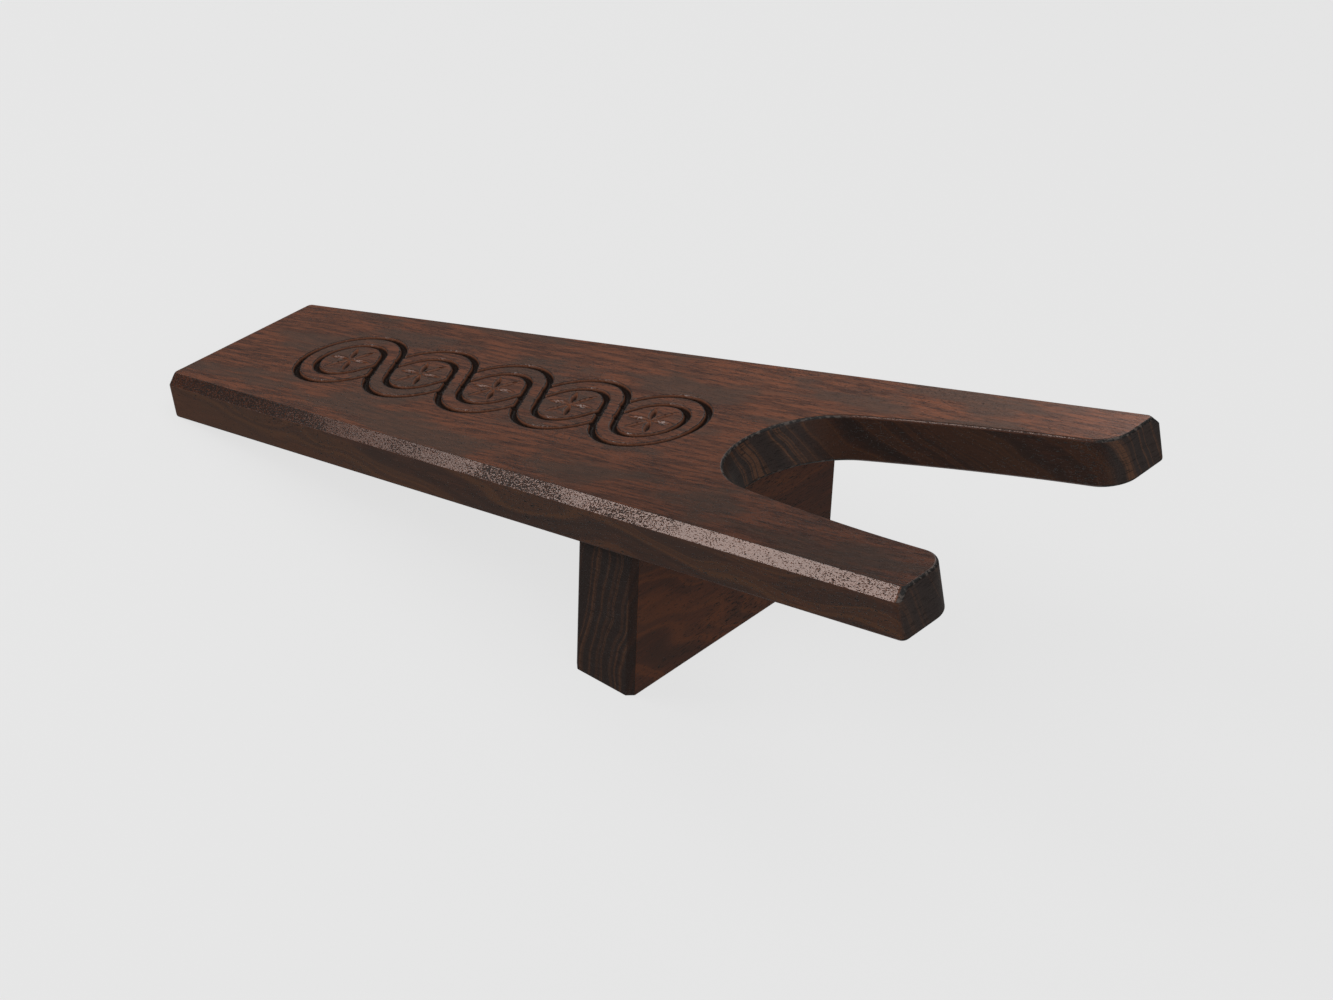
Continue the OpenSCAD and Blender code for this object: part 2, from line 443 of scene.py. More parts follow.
def carved_depth(points):
    """Depth of the carving at places on the board."""
    (rounds, _), (over, _), (under, _) = strand_offsets(points)
    depth = np.maximum(groove(rounds), groove(over))
    depth = np.maximum(depth, np.where(over < STRAND_W / 2, 0, groove(under)))
    petal, _ = petal_edges(points)
    petal = np.where(petal > PETAL_RIM, petal * PETAL_STEEPNESS, 0)
    return np.maximum(depth, petal)


def snap_to_edges(points):
    """Moves grid points that are near an edge of the carving onto it."""
    rounds, over, under = strand_offsets(points)
    covered = over[0] < STRAND_OUT
    best = np.full(len(points), PANEL_CELL / 2)
    move = np.zeros_like(points)
    for distance, way in (rounds, over, (np.where(covered, FAR, under[0]), under[1])):
        for edge in (STRAND_W / 2, STRAND_OUT):
            off = edge - distance
            use = np.abs(off) < best
            best = np.where(use, np.abs(off), best)
            step = way * (off / np.maximum(distance, TINY))[:, None]
            move = np.where(use[:, None], step, move)
    petal, way = petal_edges(points)
    use = np.abs(petal) < best
    move = np.where(use[:, None], way, move)
    return points + move


def panel_grid():
    """Places of the carved panel's grid, and its counts of columns and rows."""
    reach = STRAND_R + STRAND_OUT + PANEL_MARGIN
    start = BAND_TAIL_GAP - PANEL_MARGIN
    end = FIRST_EYE + (BAND_EYES - 1) * EYE_GAP + reach
    columns, rows = round((end - start) / PANEL_CELL), round(2 * reach / PANEL_CELL)
    us = np.linspace(start, end, columns + 1)
    vs = np.linspace(-reach, reach, rows + 1)
    flat = np.stack(np.meshgrid(us, vs, indexing="ij"), 2).reshape(-1, 2)
    return snap_to_edges(flat), columns, rows


def carved_panel(bm, carved):
    """The carved middle of the top face, as a fine grid. Returns its rim."""
    flat, columns, rows = panel_grid()
    depth = carved_depth(flat)
    verts = add_ring(bm, from_board(np.column_stack([flat, BOARD_T - depth])))
    for vert, sunk in zip(verts, depth):
        vert[carved] = sunk / GROOVE_DEPTH
    for i in range(columns):
        for j in range(rows):
            a = i * (rows + 1) + j
            b = a + rows + 1
            if abs(depth[a] - depth[b + 1]) <= abs(depth[b] - depth[a + 1]):
                bm.faces.new((verts[a], verts[b], verts[b + 1]))
                bm.faces.new((verts[a], verts[b + 1], verts[a + 1]))
            else:
                bm.faces.new((verts[a], verts[b], verts[a + 1]))
                bm.faces.new((verts[b], verts[b + 1], verts[a + 1]))
    grid = [verts[i * (rows + 1):(i + 1) * (rows + 1)] for i in range(columns + 1)]
    rim = [column[0] for column in grid] + grid[-1][1:]
    rim += [column[-1] for column in grid[-2::-1]] + grid[0][-2:0:-1]
    return rim


def make_foot_board(material):
    """The foot board with its carving and holes, its tail's low edge cut flat on the floor."""
    bm = bmesh.new()
    carved = bm.verts.layers.float.new("carved")
    rings = [add_ring(bm, from_board(board_outline(w))) for w in board_levels()]
    loft(bm, rings)
    fill(bm, [rings[0]] + board_holes(bm))
    fill(bm, [rings[-1], carved_panel(bm, carved)])
    for vert in bm.verts:
        vert.co.z = max(vert.co.z, 0)
    finish_piece(bm, "foot_board_wood", "foot_board", material)


# Support block

def block_outline(inset, height):
    """The block's outline in plan, its bevelled corners eased, at a height."""
    t, w, b = BLOCK_T / 2 - inset, BLOCK_W / 2 - inset, BLOCK_BEVEL - inset * (2 - math.sqrt(2))
    quarter = [(t, w - b), (t - b, w)]
    corners = quarter + [(-x, y) for x, y in quarter[::-1]]
    corners += [(x, -y) for x, y in corners[::-1]]
    points = []
    for i, corner in enumerate(corners):
        before, after = corners[i - 1], corners[(i + 1) % len(corners)]
        points += rounded_corner(before, corner, after, BLOCK_ARRIS_R, 3)
    return [(BLOCK_MID + x, y, height(BLOCK_MID + x)) for x, y in points]


def block_screw_hole(bm, y):
    """A stepped hole from below for one screw. Returns its lower and upper mouths."""
    steps = [(COUNTERBORE_R + HOLE_ARRIS, 0), (COUNTERBORE_R, HOLE_ARRIS)]
    steps += [(COUNTERBORE_R, HEAD_Z), (HEAD_R + HEAD_ROOM, HEAD_Z)]
    steps += [(CLEARANCE_R, HEAD_Z + HEAD_R - CLEARANCE_R), (CLEARANCE_R, None)]
    rings = []
    for radius, z in steps:
        outline = circle((BLOCK_MID, y), radius, BORE_SIDES)
        points = [(a, b, joint_height(a) if z is None else z) for a, b in outline]
        rings.append(add_ring(bm, from_plan(points)))
    loft(bm, rings)
    return rings[0], rings[-1]


def block_dowel_hole(bm, v):
    """A blind hole from the joint for one dowel. Returns its mouth."""
    outline = circle((JOINT_U, v), DOWEL_R, HOLE_SIDES)
    rings = []
    for w in (0, DOWEL_IN_BOARD - DOWEL_L - GLUE_ROOM):
        rings.append(add_ring(bm, from_board([(a, b, w) for a, b in outline])))
    return blind_hole(bm, rings)


def make_support_block(material):
    """The block, its top cut to the board's slope, with eased edges and its holes."""
    bm = bmesh.new()
    rings = []
    for turn in range(0, 91, 30):
        inset = BLOCK_ARRIS_R * (1 - math.sin(math.radians(turn)))
        z = BLOCK_ARRIS_R * (1 - math.cos(math.radians(turn)))
        rings.append(add_ring(bm, from_plan(block_outline(inset, lambda x: z))))
    for inset in (0, HOLE_ARRIS):
        below = HOLE_ARRIS - inset
        outline = block_outline(inset, lambda x: joint_height(x) - below)
        rings.append(add_ring(bm, from_plan(outline)))
    loft(bm, rings)
    holes = [block_screw_hole(bm, side * SCREW_GAP / 2) for side in (-1, 1)]
    dowels = [block_dowel_hole(bm, side * DOWEL_GAP / 2) for side in (-1, 1)]
    fill(bm, [rings[0]] + [low for low, high in holes])
    fill(bm, [rings[-1]] + [high for low, high in holes] + dowels)
    finish_piece(bm, "support_block_wood", "support_block", material)


# Screws and dowels

def screw_radius(z, angle):
    """Radius of a screw's skin at a height above the flat of its head."""
    if z < HEAD_L:
        return HEAD_R - z * (HEAD_R - SHANK_R) / HEAD_L
    if z < THREAD_START:
        return SHANK_R
    phase = (z / THREAD_PITCH - angle / (2 * math.pi)) % 1
    crest = max(0, 1 - abs(phase - 0.5) * THREAD_STEEPNESS)
    fade = min(1, (z - THREAD_START) / THREAD_PITCH)
    point = min(1, max(POINT_SHARE, (SCREW_L - z) / POINT_L))
    return (CORE_R + (THREAD_R - CORE_R) * crest * fade) * point


def star_outline():
    """The star recess in a screw's head."""
    points = []
    for i in range(STAR_SIDES):
        a = 2 * math.pi * i / STAR_SIDES
        radius = RECESS_R * (1 - STAR_WAVE + STAR_WAVE * math.cos(STAR_POINTS * a))
        points.append(polar((0, 0), radius, a))
    return points


def screw_heights():
    """Heights of a screw's rings: head, plain shank and closely spaced thread."""
    heights = [0, HEAD_RIM, HEAD_L * 0.5, HEAD_L]
    heights += list(np.linspace(HEAD_L, THREAD_START, 4)[1:])
    return heights + list(np.arange(THREAD_START, SCREW_L, 0.2)[1:]) + [SCREW_L]


def add_screw(bm, y):
    """One screw, its head down in the counterbore, with a star recess in it."""
    def place(points):
        return from_plan([(BLOCK_MID + a, y + b, HEAD_Z + c) for a, b, c in points])

    rings = []
    for z in screw_heights():
        ring = []
        for i in range(SCREW_SIDES):
            a = 2 * math.pi * i / SCREW_SIDES
            radius = screw_radius(z, a) - (HEAD_RIM_INSET if z == 0 else 0)
            ring.append((*polar((0, 0), radius, a), z))
        rings.append(add_ring(bm, place(ring)))
    loft(bm, rings)
    bm.faces.new(rings[-1])
    star = star_outline()
    mouth = add_ring(bm, place([(a, b, 0) for a, b in star]))
    bottom = [(a * RECESS_TAPER, b * RECESS_TAPER, RECESS_DEPTH) for a, b in star]
    blind_hole(bm, [mouth, add_ring(bm, place(bottom))])
    fill(bm, [rings[0], mouth])


def make_screws(material):
    """The two screws, as one piece."""
    bm = bmesh.new()
    for side in (-1, 1):
        add_screw(bm, side * SCREW_GAP / 2)
    finish_piece(bm, "block_screws_steel", "block_screws", material)


def make_dowels(material):
    """Two fluted dowels with bevelled ends."""
    bm = bmesh.new()
    low = DOWEL_IN_BOARD - DOWEL_L
    profile = [(low, DOWEL_BEVEL), (low + DOWEL_BEVEL, 0)]
    profile += [(DOWEL_IN_BOARD - DOWEL_BEVEL, 0), (DOWEL_IN_BOARD, DOWEL_BEVEL)]
    for side in (-1, 1):
        rings = []
        for w, inset in profile:
            ring = []
            for i in range(DOWEL_SIDES):
                a = 2 * math.pi * i / DOWEL_SIDES
                flute = FLUTE_DEPTH * max(0, math.cos(FLUTES * a)) if inset == 0 else 0
                middle = (JOINT_U, side * DOWEL_GAP / 2)
                ring.append((*polar(middle, DOWEL_R - inset - flute, a), w))
            rings.append(add_ring(bm, from_board(ring)))
        loft(bm, rings)
        bm.faces.new(rings[0])
        bm.faces.new(rings[-1])
    finish_piece(bm, "dowel_pins_wood", "dowel_pins", material)


# Materials

# Colours of the stained wood, in linear light, with some painted shade, reflections and glints among
# them
GRAIN_DARK = (0.048, 0.021, 0.015)
GRAIN_LIGHT = (0.156, 0.063, 0.035)
STREAK_RED = (0.188, 0.066, 0.033)
CLOUD_DULL = (0.082, 0.050, 0.037)
CLOUD_DARK = (0.034, 0.024, 0.020)
SIDE_PLAIN = (0.074, 0.037, 0.026)
SIDE_GLOW = (0.150, 0.062, 0.030)
SIDE_RING = (0.170, 0.072, 0.032)
SIDE_SHADE = (0.034, 0.023, 0.020)
BEVEL_TAIL = (0.068, 0.018, 0.006)
BEVEL_FORK_PAINTED_SHEEN = (0.215, 0.068, 0.022)
END_DARK = (0.036, 0.026, 0.023)
END_PALE = (0.125, 0.060, 0.034)
PORE_BLACK = (0.010, 0.007, 0.006)
EDGE_RED = (0.090, 0.034, 0.020)
EDGE_DARK = (0.026, 0.011, 0.007)
EDGE_STAIN_AND_DARK_REFLECTION = (0.008, 0.006, 0.005)
EDGE_PAINTED_GLINT = (0.130, 0.100, 0.085)
CARVED_WALL = (0.185, 0.060, 0.024)
CARVED_BOTTOM_STAIN_AND_SHADE = (0.007, 0.004, 0.003)
CORNER_DARK = (0.020, 0.012, 0.010)

# What the wood's colours are multiplied by in some places: some paint light and shade on the board's
# top, in the notch and on the end grain
# Painted shade and painted light on the board's top, from the right prong to the left
RIGHT_PAINTED_SHADE = (0.66, 0.56, 0.50)
LEFT_PAINTED_LIGHT = (1.80, 1.68, 1.60)
# Painted shade on the notch's walls
NOTCH_PAINTED_SHADE = (0.55, 0.50, 0.47)
BLOCK_TONE = (1.30, 0.92, 0.68)
# Painted light on the board's end grain and painted shade on the block's, on one wood
BOARD_END_PAINTED_LIGHT = 1.30
BLOCK_END_PAINTED_SHADE = 0.80

# Directions square to the growth bands: along, across and through the grain
BOARD_LEAN = (0.10, 0.84, 0.35)
BLOCK_LEAN = (0.05, 0.95, 0.12)


class Net:
    """A material's node tree, with short calls for the nodes that it needs."""

    def __init__(self, name):
        self.material = bpy.data.materials.new(name)
        self.material.use_nodes = True
        self.tree = self.material.node_tree
        self.shader = self.tree.nodes["Principled BSDF"]

    def node(self, kind, inputs=(), **settings):
        """A new node, its inputs given by name or number."""
        made = self.tree.nodes.new("ShaderNode" + kind)
        for key, value in settings.items():
            setattr(made, key, value)
        for key, value in dict(inputs).items():
            self.put(made.inputs[key], value)
        return made

    def put(self, socket, value):
        """Links a socket to another one, or sets its value."""
        if isinstance(value, bpy.types.NodeSocket):
            self.tree.links.new(value, socket)
        elif isinstance(value, tuple) and len(value) == 3 and len(socket.default_value) == 4:
            socket.default_value = (*value, 1)
        else:
            socket.default_value = value

    def math(self, operation, a, b=0.0, clamp=False):
        made = self.node("Math", {0: a, 1: b}, operation=operation, use_clamp=clamp)
        return made.outputs[0]

    def add(self, a, b):
        return self.math("ADD", a, b)

    def less(self, a, b):
        return self.math("SUBTRACT", a, b)

    def times(self, a, b):
        return self.math("MULTIPLY", a, b)

    def over(self, value, limit, gain):
        """How far a value passes a limit, times a gain, held between 0 and 1."""
        return self.math("MULTIPLY", self.less(value, limit), gain, clamp=True)

    def parts(self, vector):
        """A vector's three parts."""
        return self.node("SeparateXYZ", {0: vector}).outputs

    def noise(self, place, scale, detail=2.0, rough=0.5):
        """Noise of a place in millimetres. scale holds the cycles per mm on each axis."""
        placed = self.node("Mapping", {"Vector": place, "Scale": scale}).outputs[0]
        inputs = {"Vector": placed, "Scale": 1.0, "Detail": detail, "Roughness": rough}
        return self.node("TexNoise", inputs).outputs["Fac"]

    def span(self, value, low, high, to_low=0.0, to_high=1.0):
        """Maps low..high smoothly onto to_low..to_high."""
        inputs = {"Value": value, "From Min": low, "From Max": high}
        inputs.update({"To Min": to_low, "To Max": to_high})
        return self.node("MapRange", inputs, interpolation_type="SMOOTHSTEP").outputs[0]

    def window(self, value, low, rise, fall, high):
        """1 from rise to fall, and smoothly down to 0 at low and at high."""
        return self.times(self.span(value, low, rise), self.span(value, high, fall))

    def near(self, value, middle, reach, core=0.0):
        """1 within a core about a middle value, and smoothly down to 0 at its reach."""
        away = self.math("ABSOLUTE", self.less(value, middle))
        return self.span(away, reach, core)

    def mix(self, share, a, b, blend="MIX"):
        """Mixes two colours, by the share of the second."""
        made = self.node("Mix", data_type="RGBA", blend_type=blend)
        self.put(made.inputs["Factor"], share)
        for socket, value in ((made.inputs[6], a), (made.inputs[7], b)):
            self.put(socket, value)
        return made.outputs[2]

    def finish(self, colour, rough, height, strength, relief):
        """Links the shader's inputs, with a bump whose relief is in mm. Returns the material."""
        inputs = {"Height": height, "Strength": strength, "Distance": relief * MM}
        bump = self.node("Bump", inputs).outputs[0]
        self.put(self.shader.inputs["Base Color"], colour)
        self.put(self.shader.inputs["Roughness"], rough)
        self.put(self.shader.inputs["Normal"], bump)
        return self.material


def grain_coordinates(net, turn_y, turn_z):
    """Places in millimetres and surface directions, with the first axis along the grain."""
    coord = net.node("TexCoord").outputs
    scale = (1 / MM, 1 / MM, 1 / MM)
    turn = (0, turn_y, turn_z)
    place = net.node("Mapping", {"Vector": coord["Object"], "Scale": scale, "Rotation": turn})
    facing = net.node("Mapping", {"Vector": coord["Normal"], "Rotation": turn})
    return place.outputs[0], facing.outputs[0]


def wavy_places(net, place, drift):
    """Places shifted aside by a slow drift, so that the grain runs in waves."""
    shift = net.node("CombineXYZ", {"Y": net.times(drift, 9.0)}).outputs[0]
    return net.node("VectorMath", {0: place, 1: shift}, operation="ADD").outputs[0]


def growth_bands(net, place, drift, lean):
    """Broad growth bands, which cross the thickness of the wood at a lean."""
    field = net.node("VectorMath", {0: place, 1: lean}, operation="DOT_PRODUCT").outputs["Value"]
    field = net.add(field, net.times(drift, 14.0))
    inputs = {"W": net.times(field, 0.13), "Scale": 1.0, "Detail": 3.0, "Roughness": 0.6}
    return net.node("TexNoise", inputs, noise_dimensions="1D").outputs["Fac"]


def pore_marks(net, wood):
    """Short dark pores along the grain, and clusters of pits on the bevels, fewer by the prongs."""
    dash = net.noise(wood.place, (0.5, 3.2, 3.2), 1.0)
    crowd = net.noise(wood.place, (0.016, 0.05, 0.05))
    dash = net.over(dash, net.span(crowd, 0.40, 0.62, 0.68, 0.60), 18.0)
    pit = net.noise(wood.place, (1.5, 2.2, 2.2), 1.0, 0.6)
    cluster = net.noise(wood.place, (0.018, 0.018, 0.018), 3.0, 0.6)
    limit = net.span(cluster, 0.38, 0.58, 0.58, 0.45)
    limit = net.add(limit, net.span(wood.along, 20.0, 110.0, 0.0, 0.06))
    pit = net.over(pit, limit, 20.0)
    return net.math("MAXIMUM", dash, net.times(pit, wood.bevel))


class StainedWood:
    """What the functions for a stained piece's looks share.

    place is in millimetres along, across and through the grain, and facing holds
    the surface's direction along the same three. endways is 1 on end grain.
    level is 1 on top and underside, 0.7 on the board's bevels, and 0 on the
    sides and ends.
    """

    def __init__(self, net, turn_y, turn_z, lean):
        self.place, facing = grain_coordinates(net, turn_y, turn_z)
        self.along, self.across, _ = net.parts(self.place)
        self.facing = net.parts(facing)
        self.endways = net.math("ABSOLUTE", self.facing[0])
        self.level = net.math("ABSOLUTE", self.facing[2])
        bevel = net.window(self.level, 0.62, 0.68, 0.73, 0.80)
        self.bevel = net.times(bevel, net.span(self.endways, 0.35, 0.15))
        edge = net.window(self.level, 0.06, 0.30, 0.88, 0.99)
        self.end_edge = net.times(edge, net.span(self.endways, 0.15, 0.40))
        drift = net.noise(self.place, (0.011, 0.03, 0.03))
        self.wavy = wavy_places(net, self.place, drift)
        self.fine = net.noise(self.wavy, (0.17, 1.70, 1.70), 4.0, 0.7)
        self.band = growth_bands(net, self.place, drift, lean)
        self.ring = net.near(self.band, 0.52, 0.035)
        self.pores = pore_marks(net, self)


def grain_colour(net, wood):
    """Fine dark and light grain, with reddish streaks, dull clouds and dark mottles."""
    streak = net.noise(wood.wavy, (0.050, 0.65, 0.65), 3.0, 0.65)
    cloud = net.noise(wood.place, (0.020, 0.06, 0.06), 3.0, 0.6)
    mottle = net.noise(wood.wavy, (0.12, 0.50, 0.50), 3.0, 0.65)
    tone = net.add(net.times(wood.fine, 0.60), net.times(streak, 0.40))
    colour = net.mix(net.span(tone, 0.38, 0.62), GRAIN_DARK, GRAIN_LIGHT)
    colour = net.mix(net.span(streak, 0.47, 0.62, 0.0, 0.62), colour, STREAK_RED)
    colour = net.mix(net.span(cloud, 0.47, 0.60, 0.0, 0.72), colour, CLOUD_DULL)
    dark = net.times(net.span(cloud, 0.45, 0.60), net.span(mottle, 0.40, 0.60, 0.0, 0.3))
    return net.mix(dark, colour, CLOUD_DARK)


def side_colour(net, wood, colour):
    """The plainer, darker sides, on which the growth bands and rings show."""
    upright = net.span(wood.level, 0.70, 0.30)
    colour = net.mix(net.times(upright, 0.70), colour, SIDE_PLAIN)
    glow = net.span(wood.band, 0.50, 0.62, 0.0, 0.40)
    colour = net.mix(net.times(glow, upright), colour, SIDE_GLOW)
    ring = net.times(wood.ring, 0.50)
    colour = net.mix(net.times(ring, upright), colour, SIDE_RING)
    shade = net.span(wood.band, 0.50, 0.36, 0.0, 0.7)
    return net.mix(net.times(shade, upright), colour, SIDE_SHADE)


def end_grain_colour(net, wood, light):
    """Dark end grain with paler growth rings, fainter on the right prong, and fine rays, all scaled
    by light: painted light on the board's ends, painted shade on the block's.
    """
    # light is a painted brightness for the end grain of each piece
    dark, pale = (tuple(part * light for part in tone) for tone in (END_DARK, END_PALE))
    broad = net.near(wood.band, 0.555, 0.035, 0.010)
    rings = net.math("MAXIMUM", broad, net.times(wood.ring, 0.35))
    side = net.span(wood.across, -20.0, 20.0, 0.3, 1.0)
    rings = net.times(rings, net.span(wood.along, 140.0, 190.0, 1.0, side))
    ray = net.noise(wood.place, (0.3, 0.22, 2.4), 3.0, 0.6)
    return net.mix(net.span(ray, 0.50, 0.70), net.mix(rings, dark, pale), PORE_BLACK)


def marks_and_painted_light(net, wood, colour, end_painted_light):
    """Lays pores, end grain (painted lighter on the board, darker on the block), reddish lower
    arrises and dark lines on the bevels' top arrises over the wood's colour, and on the ends' top
    arrises stain with a painted dark reflection and painted glints.
    """
    colour = net.mix(net.times(wood.pores, 0.9), colour, PORE_BLACK)
    end = net.span(wood.endways, 0.45, 0.92, 0.0, 0.88)
    colour = net.mix(end, colour, end_grain_colour(net, wood, end_painted_light))
    low_edge = net.window(wood.level, 0.04, 0.30, 0.45, 0.66)
    colour = net.mix(net.times(low_edge, 0.8), colour, EDGE_RED)
    crest = net.window(wood.level, 0.74, 0.82, 0.95, 0.99)
    colour = net.mix(net.times(crest, 0.8), colour, EDGE_DARK)
    # Stain and a painted dark reflection: the ends' top arrises go nearly black.
    colour = net.mix(wood.end_edge, colour, EDGE_STAIN_AND_DARK_REFLECTION)
    # Painted glints: light grey spots along the ends' top arrises.
    painted_glints = net.span(net.noise(wood.place, (0.5, 0.6, 0.9)), 0.52, 0.60, 0.0, 0.7)
    return net.mix(net.times(painted_glints, wood.end_edge), colour, EDGE_PAINTED_GLINT)


def board_painted_light_and_shade(net, wood):
    """Painted light and shade over the board: its top painted paler on the left prong and darker on
    the right, and painted shade on the notch's walls.
    """
    # Painted light: only the top is painted paler towards the left prong and darker towards the
    # right.
    prong_middle = 62.0
    fork = net.span(wood.along, -70.0, 150.0, 0.0, 0.5 / prong_middle)
    share = net.math("ADD", net.times(wood.across, fork), 0.5, clamp=True)
    tone = net.mix(share, RIGHT_PAINTED_SHADE, LEFT_PAINTED_LIGHT)
    tone = net.mix(net.span(wood.facing[2], 0.75, 0.95), (1, 1, 1), tone)
    # Painted shade on the notch's inner walls, which face the board's middle line.
    inward = net.times(net.times(wood.across, wood.facing[1]), -1.0)
    return net.mix(net.span(inward, 8.0, 30.0), tone, NOTCH_PAINTED_SHADE)


def bevel_colour_and_painted_sheen(net, wood, colour):
    """The bevels' even tone, dark at the tail, brightening to a painted pinkish sheen towards the
    prongs.
    """
    # Painted sheen: the tone brightens from dark at the tail to pink towards the prongs.
    tone = net.mix(net.span(wood.along, -160.0, 150.0), BEVEL_TAIL, BEVEL_FORK_PAINTED_SHEEN)
    return net.mix(0.20, tone, colour)


def carved_colour_and_painted_shade(net, depth, colour):
    """Reddish walls in the carving, and nearly black deep down: stain that pools there and painted
    shade.
    """
    colour = net.mix(net.span(depth, 0.02, 0.12, 0.0, 0.85), colour, CARVED_WALL)
    # Painted shade with pooled stain: the deep parts of the carving go nearly black.
    return net.mix(net.span(depth, 0.20, 0.70, 0.0, 0.96), colour, CARVED_BOTTOM_STAIN_AND_SHADE)


def board_sheen(net, wood, depth):
    """The board's specular level: less on the bevels near the tail and in the carving."""
    sheen = net.span(wood.along, -140.0, -50.0, 0.22, 0.50)
    sheen = net.span(wood.bevel, 0.0, 1.0, 0.50, sheen)
    return net.span(depth, 0.10, 0.60, sheen, 0.12)


def lacquer(net, wood, colour):
    """Glossy lacquer that leaves the pores open, smoothest on the bevels."""
    rough = net.span(wood.fine, 0.3, 0.7, 0.25, 0.36)
    rough = net.span(wood.bevel, 0.0, 1.0, rough, 0.23)
    rough = net.add(rough, net.times(wood.pores, 0.5))
    rough = net.add(rough, net.times(wood.end_edge, 0.30))
    height = net.times(wood.fine, net.span(wood.bevel, 0.0, 1.0, 0.14, 0.04))
    height = net.less(height, wood.pores)
    net.shader.inputs["IOR"].default_value = 1.5
    return net.finish(colour, rough, height, 0.6, 0.13)


def stained_board(name):
    """Dark stained beech of the foot board, its grain along the slope, with painted light and shade
    over it.
    """
    net = Net(name)
    wood = StainedWood(net, SLOPE, 0, BOARD_LEAN)
    colour = side_colour(net, wood, grain_colour(net, wood))
    colour = net.mix(1.0, colour, board_painted_light_and_shade(net, wood), "MULTIPLY")
    colour = net.mix(wood.bevel, colour, bevel_colour_and_painted_sheen(net, wood, colour))
    colour = marks_and_painted_light(net, wood, colour, BOARD_END_PAINTED_LIGHT)
    depth = net.node("Attribute", attribute_name="carved").outputs["Fac"]
    colour = carved_colour_and_painted_shade(net, depth, colour)
    net.put(net.shader.inputs["Specular IOR Level"], board_sheen(net, wood, depth))
    return lacquer(net, wood, colour)


def stained_block(name):
    """Dark stained beech of the block, its grain across the boot jack, its corners dark, its end
    grain painted darker.
    """
    net = Net(name)
    wood = StainedWood(net, 0, -math.pi / 2, BLOCK_LEAN)
    colour = side_colour(net, wood, grain_colour(net, wood))
    colour = net.mix(1.0, colour, BLOCK_TONE, "MULTIPLY")
    colour = marks_and_painted_light(net, wood, colour, BLOCK_END_PAINTED_SHADE)
    corner = net.window(wood.endways, 0.60, 0.67, 0.75, 0.82)
    colour = net.mix(net.times(corner, 0.70), colour, CORNER_DARK)
    return lacquer(net, wood, colour)


def bare_beech(name):
    """Pale unfinished beech, its grain along the dowels."""
    net = Net(name)
    place, _ = grain_coordinates(net, SLOPE, 0)
    fleck = net.noise(place, (1.8, 1.8, 0.12), 3.0)
    pore = net.noise(place, (5.0, 5.0, 0.6), 1.0)
    colour = net.mix(net.span(fleck, 0.35, 0.65), (0.58, 0.38, 0.22), (0.74, 0.53, 0.34))
    colour = net.mix(net.span(pore, 0.6, 0.7), colour, (0.36, 0.20, 0.11))
    return net.finish(colour, net.span(fleck, 0.3, 0.7, 0.6, 0.75), pore, 0.3, 0.05)


def zinc_steel(name):
    """Zinc-plated steel with fine turning marks and dull patches."""
    net = Net(name)
    place, _ = grain_coordinates(net, 0, 0)
    patch = net.noise(place, (0.6, 0.6, 0.6), 4.0, 0.6)
    turning = net.noise(place, (0.3, 0.3, 9.0))
    colour = net.mix(net.span(patch, 0.35, 0.7), (0.62, 0.61, 0.57), (0.40, 0.39, 0.36))
    net.shader.inputs["Metallic"].default_value = 1.0
    return net.finish(colour, net.span(patch, 0.3, 0.7, 0.25, 0.5), turning, 0.25, 0.03)


# Camera, floor and lights

def make_camera():
    """The photograph's camera, found from the edges of the object in it."""
    azimuth, elevation, roll = (math.radians(a) for a in (39.509, 33.474, 2.306))
    right_shift, up_shift, distance = 26.487, 22.036, 1229.31
    away = Vector((math.sin(azimuth), -math.cos(azimuth), 0))
    back = math.cos(elevation) * away + math.sin(elevation) * Vector((0, 0, 1))
    level = Vector((math.cos(azimuth), math.sin(azimuth), 0))
    upright = back.cross(level)
    right = math.cos(roll) * level + math.sin(roll) * upright
    up = math.cos(roll) * upright - math.sin(roll) * level
    data = bpy.data.cameras.new("camera")
    data.sensor_width = 36
    data.lens = 87.77
    data.clip_start, data.clip_end = 0.05, 50
    camera = bpy.data.objects.new("camera", data)
    place = Matrix((right, up, back)).transposed().to_4x4()
    place.translation = (right_shift * right + up_shift * up + distance * back) * MM
    camera.matrix_world = place
    bpy.context.scene.collection.objects.link(camera)
    bpy.context.scene.camera = camera


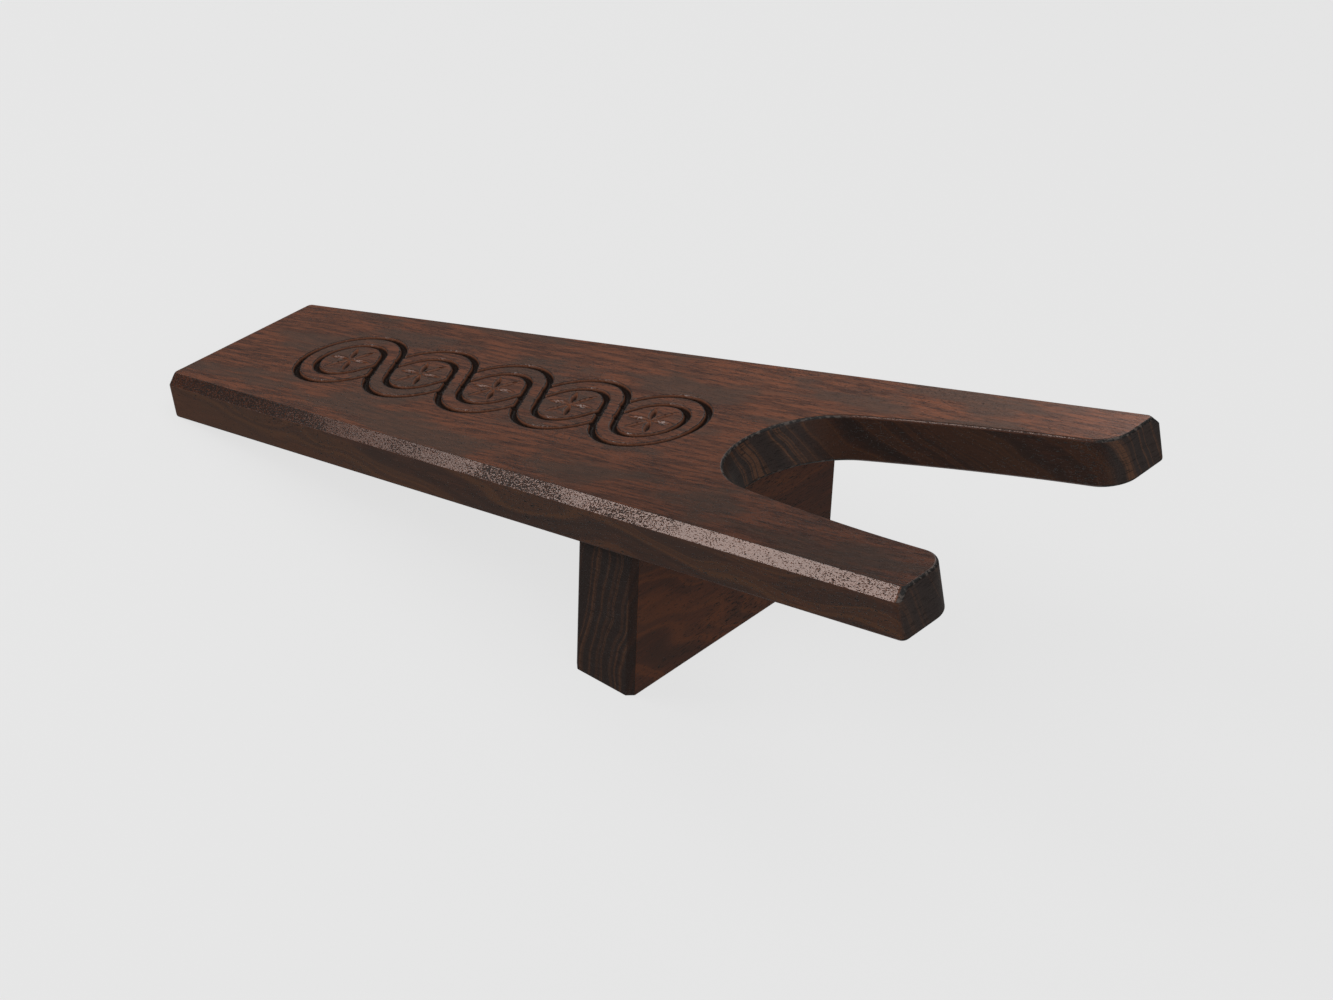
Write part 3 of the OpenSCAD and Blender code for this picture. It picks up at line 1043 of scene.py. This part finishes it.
def make_floor():
    """A pale floor that glows. The object doesn't mirror it or get light from it.

    The floor is clear from below.
    """
    bm = bmesh.new()
    bmesh.ops.create_grid(bm, x_segments=8, y_segments=8, size=8)
    mesh = bpy.data.meshes.new("floor")
    bm.to_mesh(mesh)
    bm.free()
    floor = bpy.data.objects.new("floor", mesh)
    floor.location.z = -0.05 * MM
    floor.visible_diffuse = False
    floor.visible_glossy = False
    floor.visible_shadow = False
    bpy.context.scene.collection.objects.link(floor)
    net = Net("pale_floor")
    tree = net.tree
    metres = net.node("TexCoord").outputs["Object"]
    speck = net.noise(metres, (3, 3, 3))
    grey = net.mix(speck, (0.10, 0.10, 0.10), (0.105, 0.105, 0.105))
    net.put(net.shader.inputs["Base Color"], grey)
    net.shader.inputs["Roughness"].default_value = 0.9
    net.shader.inputs["Specular IOR Level"].default_value = 0.0
    net.shader.inputs["Emission Color"].default_value = (1, 1, 1, 1)
    net.shader.inputs["Emission Strength"].default_value = 0.72
    clear = net.node("BsdfTransparent").outputs[0]
    seen = net.node("NewGeometry").outputs["Backfacing"]
    both = net.node("MixShader", {0: seen, 1: net.shader.outputs[0], 2: clear})
    tree.links.new(both.outputs[0], tree.nodes["Material Output"].inputs["Surface"])
    mesh.materials.append(net.material)


def softbox(name, toward, distance, width, height, radiance):
    """A soft light in a direction from the object, facing it."""
    toward = Vector(toward).normalized()
    data = bpy.data.lights.new(name, "AREA")
    data.shape = "RECTANGLE"
    data.size, data.size_y = width, height
    data.energy = radiance * math.pi * width * height
    light = bpy.data.objects.new(name, data)
    light.location = toward * distance + Vector((0, 0, 0.07))
    light.rotation_euler = toward.to_track_quat("Z", "Y").to_euler()
    bpy.context.scene.collection.objects.link(light)


def make_lights():
    """Soft lights round the object, and a dim even light from everywhere."""
    world = bpy.data.worlds.new("studio")
    world.use_nodes = True
    background = world.node_tree.nodes["Background"]
    background.inputs["Color"].default_value = (1, 1, 1, 1)
    background.inputs["Strength"].default_value = 0.12
    bpy.context.scene.world = world
    softbox("tail_softbox", (-0.74, -0.447, 0.57), 1.8, 0.9, 0.9, 5.0)
    softbox("top_softbox", (0.15, 0.10, 1.0), 2.0, 1.6, 1.6, 1.5)
    softbox("back_softbox", (-0.34, 0.84, 0.42), 2.2, 1.0, 1.0, 1.2)
    softbox("front_softbox", (0.75, -0.55, 0.45), 2.2, 2.2, 2.0, 1.05)
    softbox("under_softbox", (0.10, -0.10, -1.0), 2.0, 1.6, 1.6, 0.9)


make_foot_board(stained_board("stained_board"))
make_support_block(stained_block("stained_block"))
make_screws(zinc_steel("zinc_plated"))
make_dowels(bare_beech("bare_beech"))
make_camera()
make_floor()
make_lights()
bpy.context.scene.view_settings.view_transform = "Standard"
